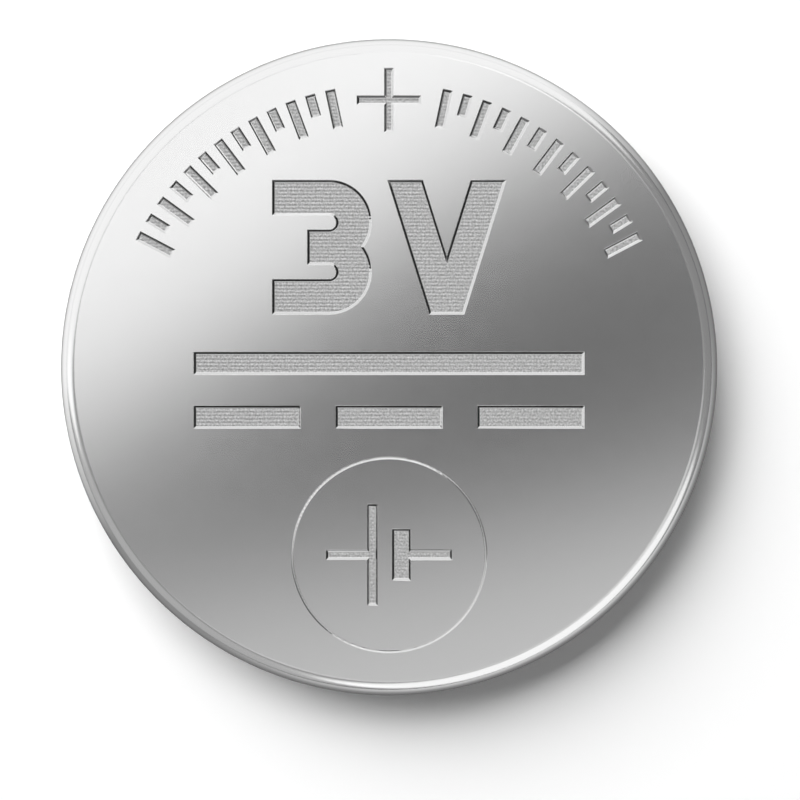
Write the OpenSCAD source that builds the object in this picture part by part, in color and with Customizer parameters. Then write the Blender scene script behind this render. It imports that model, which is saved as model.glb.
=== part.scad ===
// Lithium coin cell of the 16 mm size, lying on its negative face.
// Z = 0 is the negative contact face, and the origin is on the cell's axis.
// Each round piece is a half section, drawn as radius across and height up,
// and turned about the axis.

/* [Cell] */
// Outer diameter of the cell
cell_d = 16; // [15.4:0.1:20]
// Height from the negative contact face to the positive face
cell_h = 1.6; // [1.5:0.05:3.2]

/* [Positive can] */
// Thickness of the can's sheet
can_t = 0.25; // [0.2:0.01:0.3]
// Inside radius of the drawn bend round the positive face
can_bend_r = 0.15; // [0.1:0.01:0.3]
// Inside radius of the curl that is crimped over the gasket
crimp_r = 0.25; // [0.15:0.01:0.35]
// Length of the flat lip that the curl ends in
lip_l = 0.35; // [0.2:0.05:0.5]
// Height of the lip above the negative contact face
lip_lift = 0.12; // [0.1:0.01:0.2]

/* [Gasket] */
// Thickness of the gasket at its wall and under the cap's skirt
gasket_t = 0.25; // [0.15:0.01:0.3]
// Thickness of the gasket where the lip presses it on the cap's shoulder
gasket_pressed_t = 0.2; // [0.15:0.01:0.25]
// How far the gasket shows past the end of the lip
gasket_show = 0.2; // [0.1:0.05:0.3]
// Width of the gasket's base, from the can's wall inwards
gasket_base_w = 0.9; // [0.6:0.05:1.1]

/* [Negative cap] */
// Thickness of the cap's sheet
cap_t = 0.25; // [0.2:0.01:0.3]
// Width of the flat shoulder, with the bend down to the skirt
shoulder_w = 1.03; // [0.95:0.01:1.3]
// Inside radius of the bend between shoulder and skirt
skirt_bend_r = 0.08; // [0.05:0.01:0.12]
// Inside radius of the two bends of the step
step_bend_r = 0.12; // [0.05:0.01:0.15]
// Rise of the step from the contact face to the shoulder, for every 3 mm across
step_rise = 4; // [3:0.5:9]

/* [Inner parts] */
// Thickness of the lithium foil disc
lithium_t = 0.28; // [0.2:0.01:0.35]
// Margin from the edge of the cap's contact face to the lithium
lithium_margin = 0.25; // [0.1:0.05:0.5]
// Thickness of the separator
separator_t = 0.1; // [0.05:0.01:0.12]
// Clearance between the separator cup and the cap's step
separator_gap = 0.08; // [0.05:0.01:0.15]
// Clearance between the cathode and the separator's wall
cathode_gap = 0.03; // [0.02:0.01:0.06]
// Radius of the pressed edges of the cathode
cathode_edge_r = 0.08; // [0.06:0.01:0.12]
// Thickness of the collector mesh
collector_t = 0.1; // [0.05:0.01:0.15]
// Plain rim left round the collector's openings
collector_rim = 0.3; // [0.2:0.05:0.6]
// Long way of one mesh of the collector
mesh_long = 1.8; // [1.6:0.1:2.4]
// Short way of one mesh of the collector
mesh_short = 0.92; // [0.86:0.02:1.2]
// Width of the collector's strands
strand_w = 0.2; // [0.12:0.02:0.26]

/* [Marks on the positive face] */
// Depth of the marks
mark_depth = 0.05; // [0.02:0.01:0.1]
// Length of the two bars of the plus sign
plus_l = 1.5; // [1:0.1:1.6]
// Stroke of the plus sign
plus_w = 0.17; // [0.1:0.01:0.25]
// Distance from the edge of the flat face to the plus sign
plus_inset = 0.39; // [0.3:0.01:0.8]
// Length of the long ticks of the two scales
tick_l = 0.9; // [0.6:0.05:1]
// Length of the short ticks between them
short_tick_l = 0.5; // [0.3:0.05:0.6]
// Width of the ticks
tick_w = 0.19; // [0.1:0.01:0.25]
// Distance from the edge of the flat face to the ticks
tick_inset = 0.77; // [0.4:0.01:0.9]
// Angle of the first tick from the plus sign, in degrees
tick_start = 12; // [11:0.5:16]
// Angle from one tick to the next, in degrees
tick_pitch = 4.2; // [3.4:0.1:5]
// Number of ticks in each scale
tick_count = 13; // [7:2:15]
// Height of the voltage mark
volts_h = 3.2; // [2:0.1:3.4]
// Width of the numeral in the voltage mark
numeral_w = 2.35; // [2.1:0.05:2.6]
// Width of the unit in the voltage mark
unit_w = 2.8; // [2.4:0.1:3]
// Space between the numeral and the unit
volts_gap = 0.45; // [0.2:0.05:0.8]
// Stroke of the voltage mark
volts_w = 0.8; // [0.3:0.05:0.9]
// Height of the middle of the voltage mark above the middle of the face
volts_y = 2.9; // [2.8:0.1:3.2]
// Length of the direct current sign
current_l = 9.4; // [6:0.2:10]
// Height of the direct current sign
current_h = 1.8; // [1.4:0.1:2]
// Stroke of the direct current sign
current_w = 0.5; // [0.3:0.05:0.6]
// Space between its dashes
current_gap = 0.9; // [0.5:0.1:1.5]
// Distance of the middle of the current sign below the middle of the face
current_y = 0.56; // [0.1:0.02:0.6]
// Diameter of the thin ring
ring_d = 4.75; // [3:0.05:4.9]
// Width of the ring's line
ring_w = 0.06; // [0.04:0.01:0.12]
// Distance from the edge of the flat face to the ring
ring_inset = 0.68; // [0.5:0.02:0.9]
// Length of the long plate of the cell symbol
plate_l = 2.4; // [1.6:0.1:2.8]
// Length of the short plate
short_plate_l = 1.2; // [0.8:0.1:1.5]
// Stroke of the leads and of the long plate
lead_w = 0.2; // [0.1:0.02:0.3]
// Stroke of the short plate
short_plate_w = 0.4; // [0.3:0.02:0.5]
// Space between the two plates
plate_gap = 0.4; // [0.3:0.05:0.6]
// Length of each lead
lead_l = 1; // [0.6:0.05:1.1]

/* [Hidden] */
$fn = 120;
// How far a cutting shape runs past the face that it cuts
overcut = 0.1;
// A height well above the cell, for shapes that are cut off lower down
beyond = 2 * cell_h;

// The can: its radius, the inside of its floor and of its lip, and the end of the lip
can_r = cell_d / 2;
floor_z = cell_h - can_t;
lip_z = lip_lift + can_t;
space_r = can_r - can_t;
lip_end_r = space_r - crimp_r - lip_l;
face_r = space_r - can_bend_r;

// The cap: its skirt stands on the gasket and its shoulder lies on the pressed gasket
cap_r = space_r - gasket_t;
skirt_z = floor_z - gasket_t;
shoulder_z = lip_z + gasket_pressed_t;
skirt_outer_bend_r = skirt_bend_r + cap_t;

// The step rises through a bend at its foot, a straight flank and a bend at its brow
step_run = 3;
flank = [step_run, step_rise] / norm([step_run, step_rise]);
across_flank = [flank[1], -flank[0]];
step_outer_bend_r = step_bend_r + cap_t;
bends_r = step_bend_r + step_outer_bend_r;
flank_l = (shoulder_z - bends_r * (1 - flank[0])) / flank[1];
shoulder_r = cap_r - shoulder_w;
contact_r = shoulder_r - bends_r * flank[1] - flank_l * flank[0];
foot = [contact_r, step_outer_bend_r];
brow = [shoulder_r, shoulder_z - step_bend_r];

// The stack from the cap upwards: lithium, separator, cathode, collector, can
separator_z = cap_t + lithium_t;
cathode_z = separator_z + separator_t;
collector_z = floor_z - collector_t;
flank_foot = foot + step_bend_r * across_flank;
separator_r = flank_foot[0] - separator_gap
  + (separator_z - flank_foot[1]) * flank[0] / flank[1];
cathode_r = separator_r - separator_t - cathode_gap;
lithium_r = contact_r - lithium_margin;
// The fold at the foot of the separator's wall is tighter than the cathode's edge
separator_bend_r = cathode_edge_r - cathode_gap;

// The collector's meshes: half of each opening both ways, once its strands are taken off
mesh_half = [mesh_long, mesh_short] / 2;
mesh_reach = mesh_half[0] * mesh_half[1] / norm(mesh_half);
opening_half = mesh_half * (1 - strand_w / 2 / mesh_reach);
mesh_columns = ceil(separator_r / mesh_half[0]);
mesh_rows = ceil(separator_r / mesh_half[1]);

// Half section of a drum with rounded rims
module drum_section(r, low, high, low_bend, high_bend) {
  translate([0, low + low_bend]) square([r, high - high_bend - low - low_bend]);
  translate([0, low]) square([r - low_bend, high - high_bend - low]);
  translate([0, low + low_bend]) square([r - high_bend, high - low - low_bend]);
  translate([r - low_bend, low + low_bend]) circle(low_bend);
  translate([r - high_bend, high - high_bend]) circle(high_bend);
}

// The space inside the can, which the other pieces fill
module can_space_section() {
  drum_section(space_r, lip_z, floor_z, crimp_r, can_bend_r);
}

// The can is drawn from one sheet, and its rim is curled inwards into a lip
module can_section() {
  difference() {
    drum_section(can_r, lip_lift, cell_h, crimp_r + can_t, can_bend_r + can_t);
    can_space_section();
    square([lip_end_r, lip_z + crimp_r]);
  }
}

// The space above one side of the cap's sheet: its outer side, or a side further in.
// The foot of the step is rounded by a circle added and its brow by a circle taken away.
module cap_space_section(inset) {
  foot_r = step_outer_bend_r - inset;
  brow_r = step_bend_r + inset;
  skirt_r = skirt_outer_bend_r - inset;
  difference() {
    union() {
      drum_section(cap_r - inset, shoulder_z + inset, beyond, skirt_r, skirt_r);
      polygon([
        [0, inset],
        [contact_r, inset],
        foot + foot_r * across_flank,
        brow - brow_r * across_flank,
        [shoulder_r, shoulder_z + inset],
        [shoulder_r, cell_h],
        [0, cell_h]
      ]);
      translate(foot) circle(foot_r);
    }
    translate(brow) circle(brow_r);
  }
}

// The cap is one sheet: contact face, step, shoulder and skirt
module cap_section() {
  difference() {
    cap_space_section(0);
    cap_space_section(cap_t);
    translate([0, skirt_z]) square([can_r, beyond]);
  }
}

// The gasket fills what is left between can and cap, and the skirt stands on its base
module gasket_section() {
  intersection() {
    can_space_section();
    union() {
      translate([space_r - gasket_base_w, skirt_z]) square([gasket_base_w, gasket_t]);
      difference() {
        translate([lip_end_r - gasket_show, lip_z])
          square([space_r - lip_end_r + gasket_show, floor_z - lip_z]);
        cap_space_section(0);
      }
    }
  }
}

// A bar that is centred both ways
module bar(length, width) {
  square([length, width], center = true);
}

module plus_sign() {
  bar(plus_l, plus_w);
  bar(plus_w, plus_l);
}

// Two scales of ticks, long and short by turns, to the left and right of the plus sign
module tick_scales() {
  for (side = [-1, 1], i = [0:tick_count - 1]) {
    length = i % 2 == 0 ? tick_l : short_tick_l;
    rotate(-side * (tick_start + i * tick_pitch))
      translate([0, face_r - tick_inset - length / 2]) bar(tick_w, length);
  }
}

// Numeral three: two half rings share the middle one of three bars, which is the shortest
module numeral_three() {
  bowl_r = (volts_h + volts_w) / 4;
  bowl_x = numeral_w - bowl_r;
  for (side = [-1, 1]) {
    translate([bowl_x, side * (bowl_r - volts_w / 2)])
      intersection() {
        difference() {
          circle(bowl_r);
          circle(bowl_r - volts_w);
        }
        translate([0, -bowl_r]) square([bowl_r, 2 * bowl_r]);
      }
  }
  for (level = [-1, 0, 1]) {
    bar_l = level == 0 ? bowl_r / 2 : bowl_x;
    translate([bowl_x - bar_l / 2, level * (volts_h - volts_w) / 2]) bar(bar_l, volts_w);
  }
}

// Letter V, the sign of the volt, with its point on y = 0
module unit_volt() {
  middle = unit_w / 2;
  slope = volts_h / (middle - volts_w / 2);
  polygon([
    [0, volts_h],
    [middle - volts_w / 2, 0],
    [middle + volts_w / 2, 0],
    [unit_w, volts_h],
    [unit_w - volts_w, volts_h],
    [middle, volts_h - slope * (middle - volts_w)],
    [volts_w, volts_h]
  ]);
}

// The voltage mark, centred both ways
module voltage_mark() {
  translate([-(numeral_w + volts_gap + unit_w) / 2, 0]) {
    numeral_three();
    translate([numeral_w + volts_gap, -volts_h / 2]) unit_volt();
  }
}

// Direct current sign: a solid bar over three dashes
module current_sign() {
  dash_l = (current_l - 2 * current_gap) / 3;
  level = (current_h - current_w) / 2;
  translate([0, level]) bar(current_l, current_w);
  for (i = [-1, 0, 1])
    translate([i * (dash_l + current_gap), -level]) bar(dash_l, current_w);
}

// Thin ring with the circuit symbol of a cell: a long thin plate, a short thick one and leads
module ringed_symbol() {
  symbol_w = 2 * lead_l + lead_w + plate_gap + short_plate_w;
  difference() {
    circle(ring_d / 2);
    circle(ring_d / 2 - ring_w);
  }
  translate([-symbol_w / 2 + lead_l / 2, 0]) bar(lead_l, lead_w);
  translate([-symbol_w / 2 + lead_l + lead_w / 2, 0]) bar(lead_w, plate_l);
  translate([symbol_w / 2 - lead_l - short_plate_w / 2, 0]) bar(short_plate_w, short_plate_l);
  translate([symbol_w / 2 - lead_l / 2, 0]) bar(lead_l, lead_w);
}

// All the marks, as seen from above
module marks() {
  translate([0, face_r - plus_inset - plus_l / 2]) plus_sign();
  tick_scales();
  translate([0, volts_y]) voltage_mark();
  translate([0, -current_y]) current_sign();
  translate([0, ring_inset + ring_d / 2 - face_r]) ringed_symbol();
}

module positive_can() {
  color("silver")
    difference() {
      rotate_extrude() can_section();
      translate([0, 0, cell_h - mark_depth]) linear_extrude(mark_depth + overcut) marks();
    }
}

// Expanded mesh: staggered rows of diamond openings inside a plain rim
module collector_mesh() {
  color("gainsboro")
    translate([0, 0, collector_z])
      linear_extrude(collector_t)
        difference() {
          circle(separator_r);
          for (row = [-mesh_rows:mesh_rows], column = [-mesh_columns:mesh_columns]) {
            centre = [column * mesh_half[0], row * mesh_half[1]];
            far_x = norm([abs(centre[0]) + opening_half[0], centre[1]]);
            far_y = norm([centre[0], abs(centre[1]) + opening_half[1]]);
            if ((row + column) % 2 == 0 && max(far_x, far_y) < separator_r - collector_rim)
              translate(centre)
                polygon([
                  [opening_half[0], 0],
                  [0, opening_half[1]],
                  [-opening_half[0], 0],
                  [0, -opening_half[1]]
                ]);
          }
        }
}

module cathode_pellet() {
  color("dimgray")
    rotate_extrude()
      drum_section(cathode_r, cathode_z, collector_z, cathode_edge_r, cathode_edge_r);
}

// The space above one side of the separator: its outer side, or a side further in
module separator_space_section(inset) {
  fold_r = separator_bend_r + separator_t - inset;
  drum_section(separator_r - inset, separator_z + inset, beyond, fold_r, fold_r);
}

// Shallow cup under the cathode and round it
module separator() {
  color("whitesmoke")
    rotate_extrude()
      difference() {
        separator_space_section(0);
        separator_space_section(separator_t);
        translate([0, collector_z]) square([can_r, beyond]);
      }
}

module lithium_anode() {
  color("lightsteelblue")
    translate([0, 0, cap_t]) cylinder(h = lithium_t, r = lithium_r);
}

module gasket() {
  color("ivory") rotate_extrude() gasket_section();
}

module negative_cap() {
  color("lightgray") rotate_extrude() cap_section();
}

positive_can();
collector_mesh();
cathode_pellet();
separator();
lithium_anode();
gasket();
negative_cap();
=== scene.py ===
"""Looks of a 16 mm lithium coin cell that lies on its negative face, built round its CAD model.

Sizes are in millimetres and angles in degrees, and build_piece turns the sizes into metres.
"""

import math

import bmesh
import bpy
import numpy as np
from mathutils import Matrix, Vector
from mathutils.geometry import delaunay_2d_cdt


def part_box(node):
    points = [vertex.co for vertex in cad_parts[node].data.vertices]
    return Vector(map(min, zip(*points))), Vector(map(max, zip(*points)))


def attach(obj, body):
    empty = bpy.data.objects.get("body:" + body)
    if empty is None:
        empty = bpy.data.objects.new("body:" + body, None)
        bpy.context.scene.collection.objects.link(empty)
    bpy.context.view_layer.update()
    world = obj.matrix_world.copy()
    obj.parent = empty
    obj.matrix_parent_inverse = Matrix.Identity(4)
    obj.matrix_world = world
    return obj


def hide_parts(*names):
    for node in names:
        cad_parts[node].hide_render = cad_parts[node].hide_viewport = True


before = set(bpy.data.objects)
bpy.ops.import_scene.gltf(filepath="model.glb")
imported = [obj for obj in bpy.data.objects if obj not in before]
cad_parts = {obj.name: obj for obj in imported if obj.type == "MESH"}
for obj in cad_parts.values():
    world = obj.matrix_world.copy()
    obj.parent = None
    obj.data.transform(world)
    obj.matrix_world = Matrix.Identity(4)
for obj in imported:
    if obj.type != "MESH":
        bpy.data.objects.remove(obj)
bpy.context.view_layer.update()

# Negative cap, the lower half of the shell. One disc of nickel plated stainless steel is pressed
# into the contact face, a sloping step, a shoulder, and the skirt that stands in the gasket.

MM = 0.001
TURN_STEPS = 288
ARC_STEP = 0.02
LEAST_STEPS = 3
SUPPORT_GAP = 0.02
MERGE_GAP = 0.0001
SHARP_ANGLE = 35
NOISE_LOW = 1 / 3
NOISE_HIGH = 2 / 3


def round_size(node):
    """Radius, lowest and highest point of a round CAD node, in millimetres."""
    low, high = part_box(node)
    return [round(value / MM, 4) for value in (high.x, low.z, high.z)]


def arc(centre, radius, start, turn, step=ARC_STEP):
    """Points centre + radius (cos a, sin a), where a runs from start through the whole turn."""
    steps = max(LEAST_STEPS, math.ceil(radius * math.radians(abs(turn)) / step))
    angle = np.radians(start + turn * np.arange(steps + 1) / steps)
    return np.asarray(centre) + radius * np.stack([np.cos(angle), np.sin(angle)], axis=1)


def unit(vector):
    """The vector shortened or stretched to length one."""
    return vector / np.linalg.norm(vector)


def bent_line(corners, support=SUPPORT_GAP):
    """Line through corners (x, y, bend radius), where a bend is an arc that touches both sides.

    The arc's centre lies radius / sin(half) from the corner, on the line that halves its angle,
    and the arc turns through 180 degrees less that angle. A support point before and after it
    keeps the straight stretches flat to the eye.
    """
    places = np.array([corner[:2] for corner in corners], float)
    line = []
    for k, (x, y, radius) in enumerate(corners):
        if radius == 0:
            line.append([(x, y)])
            continue
        back = unit(places[k - 1] - places[k])
        ahead = unit(places[(k + 1) % len(places)] - places[k])
        half = math.acos(back @ ahead) / 2
        centre = places[k] + unit(back + ahead) * radius / math.sin(half)
        reach = radius / math.tan(half)
        spoke = places[k] + back * reach - centre
        turn = math.copysign(180 - 2 * math.degrees(half), ahead[0] * back[1] - ahead[1] * back[0])
        bend = arc(centre, radius, math.degrees(math.atan2(spoke[1], spoke[0])), turn)
        line.append([places[k] + back * (reach + support)])
        line.append(bend)
        line.append([places[k] + ahead * (reach + support)])
    return np.vstack(line)


def band_quads(rows, columns):
    """Quads between neighbouring rows of a grid whose last column joins its first."""
    row, column = np.mgrid[:rows - 1, :columns]
    corner = row * columns + column
    beside = row * columns + (column + 1) % columns
    return np.stack([corner, beside, beside + columns, corner + columns], axis=-1).reshape(-1, 4)


def turned(section):
    """A half section (radius, height) turned about the axis: (radius cos a, radius sin a, height).

    The metal lies to the left of the section's way round, so the faces point outwards.
    """
    angle = np.arange(TURN_STEPS) * 2 * np.pi / TURN_STEPS
    radius, height = section.T
    x = np.outer(radius, np.cos(angle))
    y = np.outer(radius, np.sin(angle))
    z = np.tile(height[:, None], TURN_STEPS)
    points = np.stack([x, y, z], axis=-1)
    return points.reshape(-1, 3), band_quads(len(section), TURN_STEPS)


def build_piece(name, patches, finishes):
    """One mesh from patches (points, faces, number of the finish, smooth), closed by merging.

    Marking the sharp edges makes every face smooth, so the faces' own marks are put back after it.
    """
    points, faces, finish_numbers, smooth_marks = zip(*patches)
    firsts = np.cumsum([0] + [len(block) for block in points])
    corners = [face for first, block in zip(firsts, faces) for face in (block + first).tolist()]
    counts = [len(block) for block in faces]
    mesh = bpy.data.meshes.new(name)
    mesh.from_pydata((np.vstack(points) * MM).tolist(), [], corners)
    mesh.polygons.foreach_set("material_index", np.repeat(finish_numbers, counts))
    mesh.polygons.foreach_set("use_smooth", np.repeat(smooth_marks, counts))
    for finish in finishes:
        mesh.materials.append(finish)
    merged = bmesh.new()
    merged.from_mesh(mesh)
    bmesh.ops.remove_doubles(merged, verts=merged.verts, dist=MERGE_GAP * MM)
    merged.to_mesh(mesh)
    merged.free()
    smooth = np.zeros(len(mesh.polygons), bool)
    mesh.polygons.foreach_get("use_smooth", smooth)
    mesh.set_sharp_from_angle(angle=math.radians(SHARP_ANGLE))
    mesh.polygons.foreach_set("use_smooth", smooth)
    piece = bpy.data.objects.new(name, mesh)
    bpy.context.scene.collection.objects.link(piece)
    return piece


def shader_of(finish):
    """The Principled shader of a material."""
    return finish.node_tree.nodes["Principled BSDF"]


def new_finish(name, constants):
    """A material whose Principled shader holds the given constants."""
    finish = bpy.data.materials.new(name)
    finish.use_nodes = True
    for socket, value in constants.items():
        shader_of(finish).inputs[socket].default_value = value
    return finish


def grain(finish, size, stretch=(1, 1, 1), detail=2):
    """Noise on Object coordinates with grains of about this size in mm, longer where stretched."""
    nodes = finish.node_tree.nodes
    links = finish.node_tree.links
    place = nodes.new("ShaderNodeTexCoord")
    mapping = nodes.new("ShaderNodeMapping")
    noise = nodes.new("ShaderNodeTexNoise")
    mapping.inputs["Scale"].default_value = [1 / (size * MM * factor) for factor in stretch]
    noise.inputs["Scale"].default_value = 1
    noise.inputs["Detail"].default_value = detail
    links.new(place.outputs["Object"], mapping.inputs["Vector"])
    links.new(mapping.outputs["Vector"], noise.inputs["Vector"])
    return noise.outputs["Fac"]


def vary(finish, socket, pattern, low, high):
    """Sets a socket of the shader from low to high, as the pattern crosses its middle third."""
    spread = finish.node_tree.nodes.new("ShaderNodeMapRange")
    spread.inputs["From Min"].default_value = NOISE_LOW
    spread.inputs["From Max"].default_value = NOISE_HIGH
    spread.inputs["To Min"].default_value = low
    spread.inputs["To Max"].default_value = high
    finish.node_tree.links.new(pattern, spread.inputs["Value"])
    finish.node_tree.links.new(spread.outputs["Result"], shader_of(finish).inputs[socket])


def roughen(finish, pattern, height):
    """Raises the surface by up to this height in mm where the pattern is high."""
    bump = finish.node_tree.nodes.new("ShaderNodeBump")
    bump.inputs["Distance"].default_value = height * MM
    finish.node_tree.links.new(pattern, bump.inputs["Height"])
    finish.node_tree.links.new(bump.outputs["Normal"], shader_of(finish).inputs["Normal"])


cap_r, contact_z, skirt_z = round_size("negative_cap")
gasket_r, gasket_low, gasket_high = round_size("gasket")
cap_t = 0.25
gasket_pressed_t = 0.2
shoulder_w = 1.03
skirt_bend_r = 0.08
step_bend_r = 0.12
step_rise = 4
step_run = 3
sheared_edge_r = 0.03
step_angle = math.atan2(step_rise, step_run)
shoulder_z = gasket_low + gasket_pressed_t
bend_shift = math.tan(step_angle / 2)
brow = cap_r - shoulder_w - step_bend_r * bend_shift
foot = brow - shoulder_z / math.tan(step_angle)
inner_shift = cap_t * bend_shift
cap_section = bent_line([
    (0, contact_z, 0),
    (foot, contact_z, step_bend_r + cap_t),
    (brow, shoulder_z, step_bend_r),
    (cap_r, shoulder_z, skirt_bend_r + cap_t),
    (cap_r, skirt_z, sheared_edge_r),
    (cap_r - cap_t, skirt_z, sheared_edge_r),
    (cap_r - cap_t, shoulder_z + cap_t, skirt_bend_r),
    (brow - inner_shift, shoulder_z + cap_t, step_bend_r + cap_t),
    (foot - inner_shift, cap_t, step_bend_r),
    (0, cap_t, 0),
])

satin_steel = new_finish("satin_steel", {"Base Color": (0.78, 0.78, 0.77, 1), "Metallic": 1})
vary(satin_steel, "Roughness", grain(satin_steel, 0.35, detail=4), 0.265, 0.295)
roughen(satin_steel, grain(satin_steel, 0.03), 0.0004)
cap_patch = (*turned(cap_section), 0, True)
pressed_cap = build_piece("pressed_cap", [cap_patch], [satin_steel])
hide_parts("negative_cap")
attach(pressed_cap, "root")

# Lithium anode: a disc punched from lithium foil and pressed on to the inside of the cap.
# The metal is soft and silvery, and dulls in patches as soon as it is cut.


def tint(finish, pattern, dark, light):
    """Mixes the base colour from dark to light, as the pattern crosses its middle third."""
    ramp = finish.node_tree.nodes.new("ShaderNodeValToRGB")
    ramp.color_ramp.elements[0].position = NOISE_LOW
    ramp.color_ramp.elements[0].color = (*dark, 1)
    ramp.color_ramp.elements[1].position = NOISE_HIGH
    ramp.color_ramp.elements[1].color = (*light, 1)
    finish.node_tree.links.new(pattern, ramp.inputs["Fac"])
    finish.node_tree.links.new(ramp.outputs["Color"], shader_of(finish).inputs["Base Color"])


lithium_foil = new_finish("lithium_foil", {"Metallic": 1})
tint(lithium_foil, grain(lithium_foil, 1.2, detail=5), (0.42, 0.43, 0.45), (0.7, 0.71, 0.73))
vary(lithium_foil, "Roughness", grain(lithium_foil, 0.5, detail=3), 0.35, 0.55)
roughen(lithium_foil, grain(lithium_foil, 0.12, stretch=(1, 6, 1)), 0.002)
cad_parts["lithium_anode"].material_slots[0].material = lithium_foil

# Gasket: a ring moulded in milky polypropylene. The skirt of the cap stands on its base, and the
# lip of the can presses its inner edge on to the cap's shoulder, where it seals the cell.

crimp_r = 0.25
can_bend_r = 0.15
lip_l = 0.35
gasket_show = 0.2
gasket_base_w = 0.9
moulded_edge_r = 0.04
lip_end = gasket_r - crimp_r - lip_l
gasket_section = bent_line([
    (lip_end - gasket_show, gasket_low, moulded_edge_r),
    (gasket_r, gasket_low, crimp_r),
    (gasket_r, gasket_high, can_bend_r),
    (gasket_r - gasket_base_w, gasket_high, moulded_edge_r),
    (gasket_r - gasket_base_w, skirt_z, moulded_edge_r),
    (cap_r, skirt_z, 0),
    (cap_r, shoulder_z, skirt_bend_r + cap_t),
    (lip_end - gasket_show, shoulder_z, moulded_edge_r),
])
gasket_section = np.vstack([gasket_section, gasket_section[:1]])

milky_plastic = new_finish("milky_plastic", {
    "IOR": 1.49,
    "Subsurface Weight": 0.2,
    "Subsurface Scale": 0.3 * MM,
})
tint(milky_plastic, grain(milky_plastic, 0.9), (0.66, 0.65, 0.61), (0.74, 0.73, 0.7))
vary(milky_plastic, "Roughness", grain(milky_plastic, 0.2), 0.38, 0.5)
roughen(milky_plastic, grain(milky_plastic, 0.05), 0.0008)
gasket_patch = (*turned(gasket_section), 0, True)
moulded_gasket = build_piece("moulded_gasket", [gasket_patch], [milky_plastic])
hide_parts("gasket")
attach(moulded_gasket, "root")

# Separator: a shallow cup of white non-woven polypropylene between the lithium and the cathode.
# Its fibres lie flat and cross at random, and soak up the electrolyte.

fibre_cloth = new_finish("fibre_cloth", {"Roughness": 0.85, "Sheen Weight": 0.15})
fibres = grain(fibre_cloth, 0.15, stretch=(5, 1, 1), detail=4)
tint(fibre_cloth, fibres, (0.72, 0.72, 0.7), (0.86, 0.86, 0.84))
roughen(fibre_cloth, grain(fibre_cloth, 0.05, stretch=(1, 5, 1), detail=4), 0.01)
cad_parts["separator"].material_slots[0].material = fibre_cloth

# Cathode: manganese dioxide and carbon powder, pressed into a pellet. It is black and dry, with
# coarser grains that catch a little light.

pressed_powder = new_finish("pressed_powder", {})
powder = grain(pressed_powder, 0.06, detail=6)
tint(pressed_powder, powder, (0.012, 0.012, 0.012), (0.045, 0.044, 0.042))
vary(pressed_powder, "Roughness", grain(pressed_powder, 0.3, detail=3), 0.6, 0.85)
roughen(pressed_powder, grain(pressed_powder, 0.04, detail=5), 0.006)
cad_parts["cathode_pellet"].material_slots[0].material = pressed_powder

# Collector: stainless steel sheet, slit and stretched into a mesh, which carries the current from
# the cathode to the can. It is left as rolled.

rolled_steel = new_finish("rolled_steel", {"Base Color": (0.56, 0.56, 0.55, 1), "Metallic": 1})
vary(rolled_steel, "Roughness", grain(rolled_steel, 0.2, stretch=(1, 8, 1), detail=3), 0.28, 0.42)
roughen(rolled_steel, grain(rolled_steel, 0.03, stretch=(1, 10, 1)), 0.0008)
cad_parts["collector_mesh"].material_slots[0].material = rolled_steel

# Positive can: a cup drawn from one sheet of nickel plated stainless steel. Its floor is the face
# with the marks, and its open edge is curled inwards over the gasket into a flat lip.
# The marks are sunk 0.05 mm deep by a tool that leaves fine ridges across their floors.

can_t = 0.25
can_r, lip_low, face_z = round_size("positive_can")
face_r = gasket_r - can_bend_r
can_section = bent_line([
    (0, gasket_high, 0),
    (gasket_r, gasket_high, can_bend_r),
    (gasket_r, gasket_low, crimp_r),
    (lip_end, gasket_low, sheared_edge_r),
    (lip_end, lip_low, sheared_edge_r),
    (can_r, lip_low, crimp_r + can_t),
    (can_r, face_z, can_bend_r + can_t),
    (0, face_z, 0),
])

# The face's flat is a plate with openings, so the section's last two points, on it, are left out.
can_section = can_section[:-2]

# Walls and floors of the marks
MARK_DEPTH = 0.05
WALL_W = 0.057
WALL_EDGE_R = 0.012
WALL_SUPPORT = 0.004
RIDGE_PITCH = 0.085
RIDGE_H = 0.003
OUTLINE_STEP = 0.05
FINE_LINE_SHARE = 0.5

# Filling of flat areas: digits kept of a stop, the choice of the whole hull, the gap taken as none
STOP_DIGITS = 6
FILL_HULL = 0
FILL_GAP = MERGE_GAP / 10

# Numbers of the can's three finishes
FACE_FINISH = 0
FLOOR_FINISH = 1
WALL_FINISH = 2


def mitres(loop):
    """How far each corner of a loop moves when its sides step one to their right.

    With n1 and n2 the normals of the sides that meet there, it is (n1 + n2) / (1 + n1 . n2).
    """
    side = np.roll(loop, -1, axis=0) - loop
    side = side / np.linalg.norm(side, axis=1, keepdims=True)
    after = np.stack([side[:, 1], -side[:, 0]], axis=1)
    before = np.roll(after, 1, axis=0)
    return (before + after) / (1 + np.sum(before * after, axis=1, keepdims=True))


def ridge(y):
    """Height of the ridges: a triangle wave across y."""
    return RIDGE_H * (1 - 4 * abs(y / RIDGE_PITCH % 1 - 0.5))


def crossings(loop):
    """Numbers of the crests and troughs that a loop crosses, and the stops where it does.

    A stop is the number of a side plus the share of it that lies before the crossing, rounded so
    that a crossing at a corner is the corner.
    """
    y = loop[:, 1]
    end = np.roll(y, -1)
    spacing = RIDGE_PITCH / 2
    level = spacing * np.arange(math.floor(y.min() / spacing), math.ceil(y.max() / spacing) + 1)
    crossed, side = np.nonzero((y < level[:, None]) != (end < level[:, None]))
    share = (level[crossed] - y[side]) / (end[side] - y[side])
    stops = np.round(side + share, STOP_DIGITS) % len(loop)
    return np.round(level[crossed] / spacing), stops


def along(loop, stops):
    """Points of a closed loop at the stops, which count its corners and shares of its sides."""
    closed = np.vstack([loop, loop[:1]])
    count = np.arange(len(closed))
    return np.stack([np.interp(stops, count, closed[:, axis]) for axis in (0, 1)], axis=1)


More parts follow.
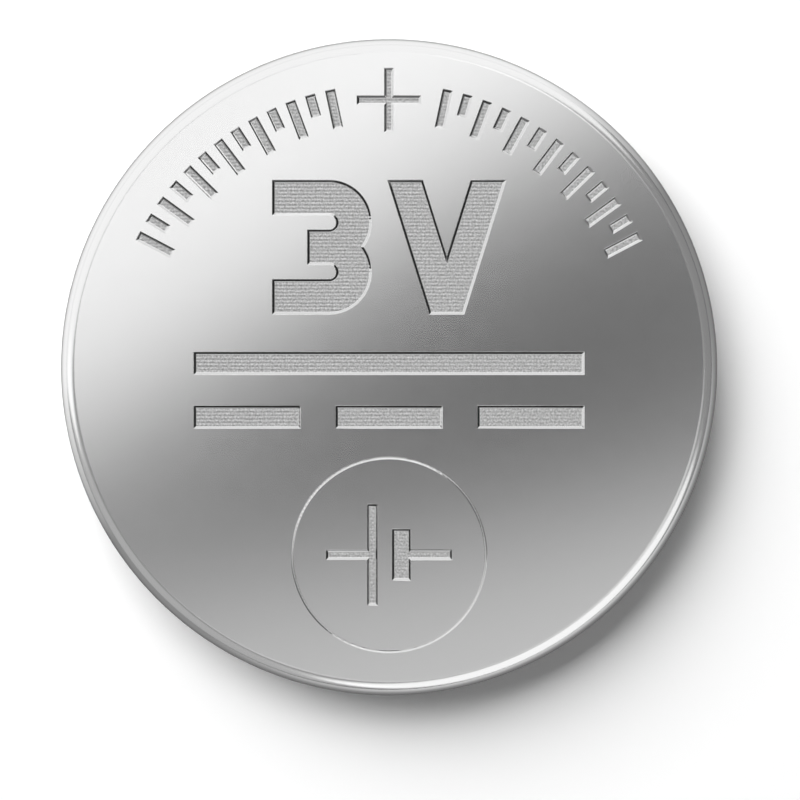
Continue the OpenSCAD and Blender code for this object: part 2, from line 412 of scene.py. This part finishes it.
def fill(loops, chords):
    """Points and triangles of the area to the left of the loops, with edges along the chords.

    The hull of all points is cut into triangles. One that shares a side with a loop lies to its
    left where both go the same way along it. The others take the answer of their neighbours, which
    no loop parts from them.
    """
    sizes = [len(loop) for loop in loops]
    firsts = np.repeat(np.cumsum([0] + sizes[:-1]), sizes)
    corner = np.arange(len(firsts))
    following = firsts + (corner - firsts + 1) % np.repeat(sizes, sizes)
    ends = np.vstack([*loops, chords])
    chord_edges = np.arange(len(corner), len(ends)).reshape(-1, 2)
    edges = np.vstack([np.stack([corner, following], axis=1), chord_edges])
    plane, _, triangles, sources, *_ = delaunay_2d_cdt(
        ends.tolist(), edges.tolist(), [], FILL_HULL, FILL_GAP, True
    )
    triangles = np.array(triangles)
    unnamed = len(ends)
    source = np.array([min(ids, default=unnamed) for ids in sources])[triangles]
    target = np.roll(source, -1, axis=1)
    following = np.append(following, np.full(unnamed + 1 - len(corner), -1))
    left = np.any(following[source] == target, axis=1)
    right = np.any(following[target] == source, axis=1)
    side = left.astype(int) - right

    ends_of_side = np.sort(np.stack([triangles, np.roll(triangles, -1, axis=1)]), axis=0)
    key = (ends_of_side[0] * len(plane) + ends_of_side[1]).ravel()
    order = np.argsort(key)
    shared = np.nonzero(np.diff(key[order]) == 0)[0]
    one = order[shared] // 3
    other = order[shared + 1] // 3
    while not side.all():
        answer = np.bincount(one, side[other], len(side))
        answer += np.bincount(other, side[one], len(side))
        side = np.where(side, side, np.sign(answer).astype(int))
    return np.array(plane), triangles[side > 0]


def sunk_mark(loops, share=1):
    """Top loops of a mark, and patches for its sloping walls and its ridged floor.

    Each wall is the outline stepped sideways and down along a rounded slope, with the outline
    midway. The slope's flat ends are left out, as the face and the floor go on from its bends. A
    floor point lies at the full depth plus the ridge's height at its y. All but the outline
    shrinks by the share.
    """
    depth = MARK_DEPTH * share
    half_w = WALL_W * share / 2
    edge_r = WALL_EDGE_R * share
    slope = bent_line([
        (2 * half_w, 0, 0), (half_w, 0, edge_r), (-half_w, depth, edge_r), (-2 * half_w, depth, 0),
    ], WALL_SUPPORT * share)[2:-2]
    top, bottom, walls, levels, chord_ends = [], [], [], [], []
    for loop in loops:
        reach = mitres(loop)
        low = loop + reach * slope[-1, 0]
        level, cuts = crossings(low)
        stops = np.unique(np.concatenate([np.arange(len(loop)), cuts]))
        plan = np.stack([along(loop + reach * aside, stops) for aside in slope[:, 0]])
        drop = np.outer(slope[:, 1] / depth, depth - ridge(plan[-1, :, 1]) * share)
        points = np.concatenate([plan, (face_z - drop)[..., None]], axis=2).reshape(-1, 3)
        walls.append((points, band_quads(len(slope), len(stops)), WALL_FINISH, True))
        top.append(plan[0])
        bottom.append(plan[-1])
        levels.append(level)
        chord_ends.append(along(low, cuts))
    chord_ends = np.vstack(chord_ends)
    chords = chord_ends[np.lexsort((chord_ends[:, 0], np.concatenate(levels)))]
    plane, triangles = fill(bottom, chords)
    floor = np.column_stack([plane, face_z - depth + ridge(plane[:, 1]) * share])
    return top, [*walls, (floor, triangles, FLOOR_FINISH, False)]


def bar(x, y, length, width):
    """Rectangle about (x, y)."""
    half = np.array([length, width]) / 2
    return np.array([x, y]) + half * [(-1, -1), (1, -1), (1, 1), (-1, 1)]


def rotated(loop, angle):
    """A loop turned about the middle of the face."""
    cos = math.cos(math.radians(angle))
    sin = math.sin(math.radians(angle))
    return loop @ np.array([(cos, sin), (-sin, cos)])


def numeral_three(height, width, stroke):
    """Outline of a 3: two half rings share the middle one of three bars, which is the shortest."""
    bowl_r = (height + stroke) / 4
    bowl_x = width - bowl_r
    bowl_y = bowl_r - stroke / 2
    bar_x = bowl_x - bowl_r / 2
    waist = math.degrees(math.asin(bowl_y / bowl_r))
    top = height / 2
    return np.vstack([
        [(0, -top)],
        arc((bowl_x, -bowl_y), bowl_r, -90, 90 + waist, OUTLINE_STEP),
        arc((bowl_x, bowl_y), bowl_r, -waist, 90 + waist, OUTLINE_STEP)[1:],
        [(0, top), (0, top - stroke)],
        arc((bowl_x, bowl_y), bowl_r - stroke, 90, -180, OUTLINE_STEP),
        [(bar_x, stroke / 2), (bar_x, -stroke / 2)],
        arc((bowl_x, -bowl_y), bowl_r - stroke, 90, -180, OUTLINE_STEP),
        [(0, stroke - top)],
    ])


def unit_volt(height, width, stroke):
    """Outline of a V, with its point at the height 0."""
    middle = width / 2
    slope = height / (middle - stroke / 2)
    return np.array([
        (0, height),
        (middle - stroke / 2, 0),
        (middle + stroke / 2, 0),
        (width, height),
        (width - stroke, height),
        (middle, height - slope * (middle - stroke)),
        (stroke, height),
    ])


def tee(lead_start, lead_l, lead_w, plate_w, plate_l):
    """Outline of a lead that runs to the right into an upright plate."""
    lead_end = lead_start + lead_l
    plate_end = lead_end + plate_w
    return np.array([
        (lead_start, -lead_w / 2),
        (lead_end, -lead_w / 2),
        (lead_end, -plate_l / 2),
        (plate_end, -plate_l / 2),
        (plate_end, plate_l / 2),
        (lead_end, plate_l / 2),
        (lead_end, lead_w / 2),
        (lead_start, lead_w / 2),
    ])


def circle(radius):
    """Circle with a corner at each column of a turned section."""
    angle = np.arange(TURN_STEPS) * 2 * np.pi / TURN_STEPS
    return radius * np.stack([np.cos(angle), np.sin(angle)], axis=1)


# Plus sign near the edge
plus_l = 1.5
plus_w = 0.17
plus_inset = 0.39
arm = plus_l / 2
half_w = plus_w / 2
plus_y = face_r - plus_inset - arm
quarter = np.array([(arm, -half_w), (arm, half_w), (half_w, half_w)])
plus = np.vstack([rotated(quarter, 90 * turn) for turn in range(4)]) + [0, plus_y]

# Two scales of ticks, long and short by turns
tick_l = 0.9
short_tick_l = 0.5
tick_w = 0.19
tick_inset = 0.77
tick_start = 12
tick_pitch = 4.2
tick_count = 13
tick_end = face_r - tick_inset
ticks = []
for side in (-1, 1):
    for number in range(tick_count):
        length = short_tick_l if number % 2 else tick_l
        tick = bar(0, tick_end - length / 2, tick_w, length)
        ticks.append(rotated(tick, side * (tick_start + tick_pitch * number)))

# Voltage mark
volts_h = 3.2
volts_w = 0.8
numeral_w = 2.35
unit_w = 2.8
volts_gap = 0.45
volts_y = 2.9
volts_left = -(numeral_w + volts_gap + unit_w) / 2
three = numeral_three(volts_h, numeral_w, volts_w) + [volts_left, volts_y]
volt = unit_volt(volts_h, unit_w, volts_w)
volt = volt + [volts_left + numeral_w + volts_gap, volts_y - volts_h / 2]

# Direct current sign: a solid bar over three dashes
current_l = 9.4
current_h = 1.8
current_w = 0.5
current_gap = 0.9
current_y = -0.56
current_level = (current_h - current_w) / 2
dash_l = (current_l - 2 * current_gap) / 3
dash_pitch = dash_l + current_gap
current = [bar(0, current_y + current_level, current_l, current_w)]
for number in (-1, 0, 1):
    current.append(bar(number * dash_pitch, current_y - current_level, dash_l, current_w))

# Thin ring round the circuit symbol of a cell. Its sloping sides nearly meet, so its outlines
# lie inside the line's width.
ring_d = 4.75
ring_w = 0.06
ring_inset = 0.68
ring_slope = 0.011
ring_r = ring_d / 2
ring_y = ring_inset + ring_r - face_r
outer = circle(ring_r - ring_slope) + [0, ring_y]
inner = circle(ring_r - ring_w + ring_slope)[::-1] + [0, ring_y]
plate_l = 2.4
short_plate_l = 1.2
lead_w = 0.2
short_plate_w = 0.4
plate_gap = 0.4
lead_l = 1
symbol_w = 2 * lead_l + lead_w + plate_gap + short_plate_w
long_side = tee(-symbol_w / 2, lead_l, lead_w, lead_w, plate_l)
short_side = tee(-symbol_w / 2, lead_l, lead_w, short_plate_w, short_plate_l)
long_side = long_side + [0, ring_y]
short_side = rotated(short_side, 180) + [0, ring_y]

# The face: a plate with an opening for each mark, and the sunk marks in the openings
outlines = [plus, *ticks, three, volt, *current, long_side, short_side]
marks = [sunk_mark([outline]) for outline in outlines]
marks.append(sunk_mark([outer, inner], FINE_LINE_SHARE))
rims = [circle(face_r), *(loop[::-1] for top, _ in marks for loop in top)]
plane, triangles = fill(rims, np.empty((0, 2)))
flat_face = np.column_stack([plane, np.full(len(plane), face_z)])
patches = [
    (*turned(can_section), FACE_FINISH, True),
    (flat_face, triangles, FACE_FINISH, False),
    *(patch for _, mark in marks for patch in mark),
]

bright_nickel = new_finish("bright_nickel", {
    "Base Color": (0.9, 0.9, 0.9, 1),
    "Metallic": 1,
    "Specular Tint": (0.4, 0.4, 0.4, 1),
})
vary(bright_nickel, "Roughness", grain(bright_nickel, 0.4, detail=3), 0.177, 0.183)
sunk_floor = new_finish("sunk_floor", {"Metallic": 1})
tint(sunk_floor, grain(sunk_floor, 0.05, detail=3), (0.45, 0.45, 0.45), (0.8, 0.8, 0.8))
vary(sunk_floor, "Roughness", grain(sunk_floor, 0.1), 0.34, 0.42)
roughen(sunk_floor, grain(sunk_floor, 0.03, stretch=(1.6, 1, 1)), 0.004)
smooth_wall = new_finish("smooth_wall", {"Base Color": (0.9, 0.9, 0.9, 1), "Metallic": 1})
vary(smooth_wall, "Roughness", grain(smooth_wall, 0.05), 0.09, 0.12)
drawn_can = build_piece("drawn_can", patches, [bright_nickel, sunk_floor, smooth_wall])
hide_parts("positive_can")
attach(drawn_can, "root")

# Studio: the cell lies on a sheet of white paper. The key lamp and the sky light it, and its metal
# reflects cards and ceiling panels that stand against grey walls.

FLOOR_L = 800
FLOOR_GAP = 0.002
FLOOR_GLOW = 0.03
floor_mesh = bpy.data.meshes.new("floor")
floor_corners = bar(0, 0, FLOOR_L, FLOOR_L)
floor_points = np.column_stack([floor_corners, np.full(4, -FLOOR_GAP)]) * MM
floor_mesh.from_pydata(floor_points.tolist(), [], [(0, 1, 2, 3)])
floor = bpy.data.objects.new("floor", floor_mesh)
bpy.context.scene.collection.objects.link(floor)


def background_rays(tree):
    """One for rays from the camera and for those that metal and clear pieces reflect or bend."""
    path = tree.nodes.new("ShaderNodeLightPath")
    total = path.outputs["Is Camera Ray"]
    for kind in ("Is Glossy Ray", "Is Transmission Ray"):
        highest = tree.nodes.new("ShaderNodeMath")
        highest.operation = "MAXIMUM"
        tree.links.new(total, highest.inputs[0])
        tree.links.new(path.outputs[kind], highest.inputs[1])
        total = highest.outputs["Value"]
    return total


paper = new_finish("paper", {
    "Base Color": (0.96, 0.96, 0.96, 1),
    "Specular IOR Level": 0,
    "Emission Color": (1, 1, 1, 1),
})
glow = paper.node_tree.nodes.new("ShaderNodeMath")
glow.operation = "MULTIPLY"
glow.inputs[1].default_value = FLOOR_GLOW
paper.node_tree.links.new(background_rays(paper.node_tree), glow.inputs[0])
paper.node_tree.links.new(glow.outputs["Value"], shader_of(paper).inputs["Emission Strength"])
floor_mesh.materials.append(paper)

PANEL_DISTANCE = 500


def panel(
    name, azimuth, elevation, width, height, radiance,
    roll=0, shape="RECTANGLE", reflected=True,
):
    """A flat lamp that faces the cell, and is either reflected in metal or lights the rest.

    It stands at this azimuth and elevation, turned by roll about its line to the cell. Its power
    is radiance times pi times width times height.
    """
    light = bpy.data.lights.new(name, "AREA")
    light.shape = shape
    light.size = width * MM
    light.size_y = height * MM
    light.energy = radiance * math.pi * width * height * MM ** 2
    turn = Matrix.Rotation(math.radians(azimuth + 90), 4, "Z")
    tilt = Matrix.Rotation(math.radians(90 - elevation), 4, "X")
    back = Matrix.Translation((0, 0, PANEL_DISTANCE * MM))
    lamp = bpy.data.objects.new(name, light)
    lamp.matrix_world = turn @ tilt @ back @ Matrix.Rotation(math.radians(roll), 4, "Z")
    lamp.visible_camera = False
    lamp.visible_glossy = reflected
    lamp.visible_diffuse = not reflected
    bpy.context.scene.collection.objects.link(lamp)


panel("key", 125, 42, 500, 450, 6.2, reflected=False)
panel("left_card", 117.5, 17, 1930, 1650, 0.75)
panel("right_card", 301, 43.4, 620, 485, 0.62, shape="ELLIPSE")
panel("near_card", 222, 40, 780, 480, 0.14, shape="ELLIPSE")
panel("ceiling_top_left", 104.1, 80.9, 270, 77, 1.09, roll=18.4)
panel("ceiling_bottom", 302.2, 78.8, 275, 105, 0.56, roll=-20.5)

# A low collar round the cell, which only metal sees, glows with a painted reflection of the floor
# near the rim. It is white painted light on the key lamp's side, and dark painted shade on the
# other side, where the floor lies in the cell's shadow, and there it grows lighter near its top.
# Its two spans are on a scale from -1 on the white side to 1 on the dark one.
COLLAR_R = 8.6
COLLAR_LEVELS = [0, 0.8, 1.2, 1.74]
DARK_AZIMUTH = 302
WHITE = 1
FOOT_WHITE = 0.8
DARK = 0.27
TOP_LIFT = 0.45
SHADE_SPAN = [-0.5, 0]
LIFT_SPAN = [0.4, 0.9]
collar_line = circle(COLLAR_R)
dark_way = [math.cos(math.radians(DARK_AZIMUTH)), math.sin(math.radians(DARK_AZIMUTH))]
toward_dark = collar_line @ dark_way / COLLAR_R
shade = np.interp(toward_dark, SHADE_SPAN, [WHITE, DARK])
foot_shade = np.minimum(shade, FOOT_WHITE)
lift = np.interp(toward_dark, LIFT_SPAN, [0, TOP_LIFT])
painted_reflection_greys = np.concatenate([foot_shade, foot_shade, shade, shade + lift])
collar_points = [np.column_stack([collar_line, np.full(TURN_STEPS, z)]) for z in COLLAR_LEVELS]
collar_quads = band_quads(len(COLLAR_LEVELS), TURN_STEPS)
collar_mesh = bpy.data.meshes.new("collar")
collar_mesh.from_pydata((np.vstack(collar_points) * MM).tolist(), [], collar_quads.tolist())
collar_mesh.attributes.new("grey", "FLOAT", "POINT").data.foreach_set("value", painted_reflection_greys)
# Its emission is the painted reflection: each point's grey is painted light or painted shade.
shaded_card = new_finish("shaded_card", {
    "Base Color": (0, 0, 0, 1),
    "Specular IOR Level": 0,
    "Emission Color": (1, 1, 1, 1),
})
card_grey = shaded_card.node_tree.nodes.new("ShaderNodeAttribute")
card_grey.attribute_name = "grey"
card_strength = shader_of(shaded_card).inputs["Emission Strength"]
shaded_card.node_tree.links.new(card_grey.outputs["Fac"], card_strength)
collar_mesh.materials.append(shaded_card)
collar = bpy.data.objects.new("collar", collar_mesh)
collar.visible_camera = False
collar.visible_diffuse = False
collar.visible_shadow = False
bpy.context.scene.collection.objects.link(collar)

# The world: white to the camera, an even sky to matte surfaces, and to metal grey walls that are
# dark near the floor and overhead. Each wall stop is an elevation and its grey.
SKY = 0.14
WALLS = [(15, 0.02), (21, 0.25), (73.4, 0.25), (87, 0.02)]

# Numbers of a Mix node's colour sockets
MIX_A = 6
MIX_B = 7
MIX_RESULT = 2

world = bpy.data.worlds.new("studio")
bpy.context.scene.world = world
world.use_nodes = True
tree = world.node_tree
direction = tree.nodes.new("ShaderNodeTexCoord")
height = tree.nodes.new("ShaderNodeSeparateXYZ")
walls = tree.nodes.new("ShaderNodeValToRGB")
walls.color_ramp.interpolation = "EASE"
stops = walls.color_ramp.elements
stops.remove(stops[1])
for elevation, grey in WALLS:
    stop = stops.new(math.sin(math.radians(elevation)))
    stop.color = (grey, grey, grey, 1)
stops.remove(stops[0])
path = tree.nodes.new("ShaderNodeLightPath")
sky_or_walls = tree.nodes.new("ShaderNodeMix")
sky_or_walls.data_type = "RGBA"
sky_or_walls.inputs[MIX_A].default_value = (SKY, SKY, SKY, 1)
seen = tree.nodes.new("ShaderNodeMix")
seen.data_type = "RGBA"
seen.inputs[MIX_B].default_value = (1, 1, 1, 1)
tree.links.new(direction.outputs["Generated"], height.inputs["Vector"])
tree.links.new(height.outputs["Z"], walls.inputs["Fac"])
tree.links.new(background_rays(tree), sky_or_walls.inputs["Factor"])
tree.links.new(walls.outputs["Color"], sky_or_walls.inputs[MIX_B])
tree.links.new(path.outputs["Is Camera Ray"], seen.inputs["Factor"])
tree.links.new(sky_or_walls.outputs[MIX_RESULT], seen.inputs[MIX_A])
tree.links.new(seen.outputs[MIX_RESULT], tree.nodes["Background"].inputs["Color"])

# Camera: straight above the cell, and beside its middle by as much as the photograph's frame is.
# Pixels are the photograph's, where the cell is measured at its widest height.

PHOTO_W = 800
CELL_PX = 655.8
CELL_X_PX = 389.1
CELL_Y_PX = 367.25
CAMERA_RISE = 50
SENSOR_W = 36
mm_per_px = 2 * can_r / CELL_PX
widest_z = face_z - can_bend_r - can_t
camera_data = bpy.data.cameras.new("camera")
camera_data.sensor_width = SENSOR_W
camera_data.lens = SENSOR_W * CAMERA_RISE / (PHOTO_W * mm_per_px)
camera_data.clip_start = 1 * MM
camera = bpy.data.objects.new("camera", camera_data)
camera.location = (
    (PHOTO_W / 2 - CELL_X_PX) * mm_per_px * MM,
    (CELL_Y_PX - PHOTO_W / 2) * mm_per_px * MM,
    (widest_z + CAMERA_RISE) * MM,
)
bpy.context.scene.collection.objects.link(camera)
bpy.context.scene.camera = camera
bpy.context.scene.view_settings.view_transform = "Standard"
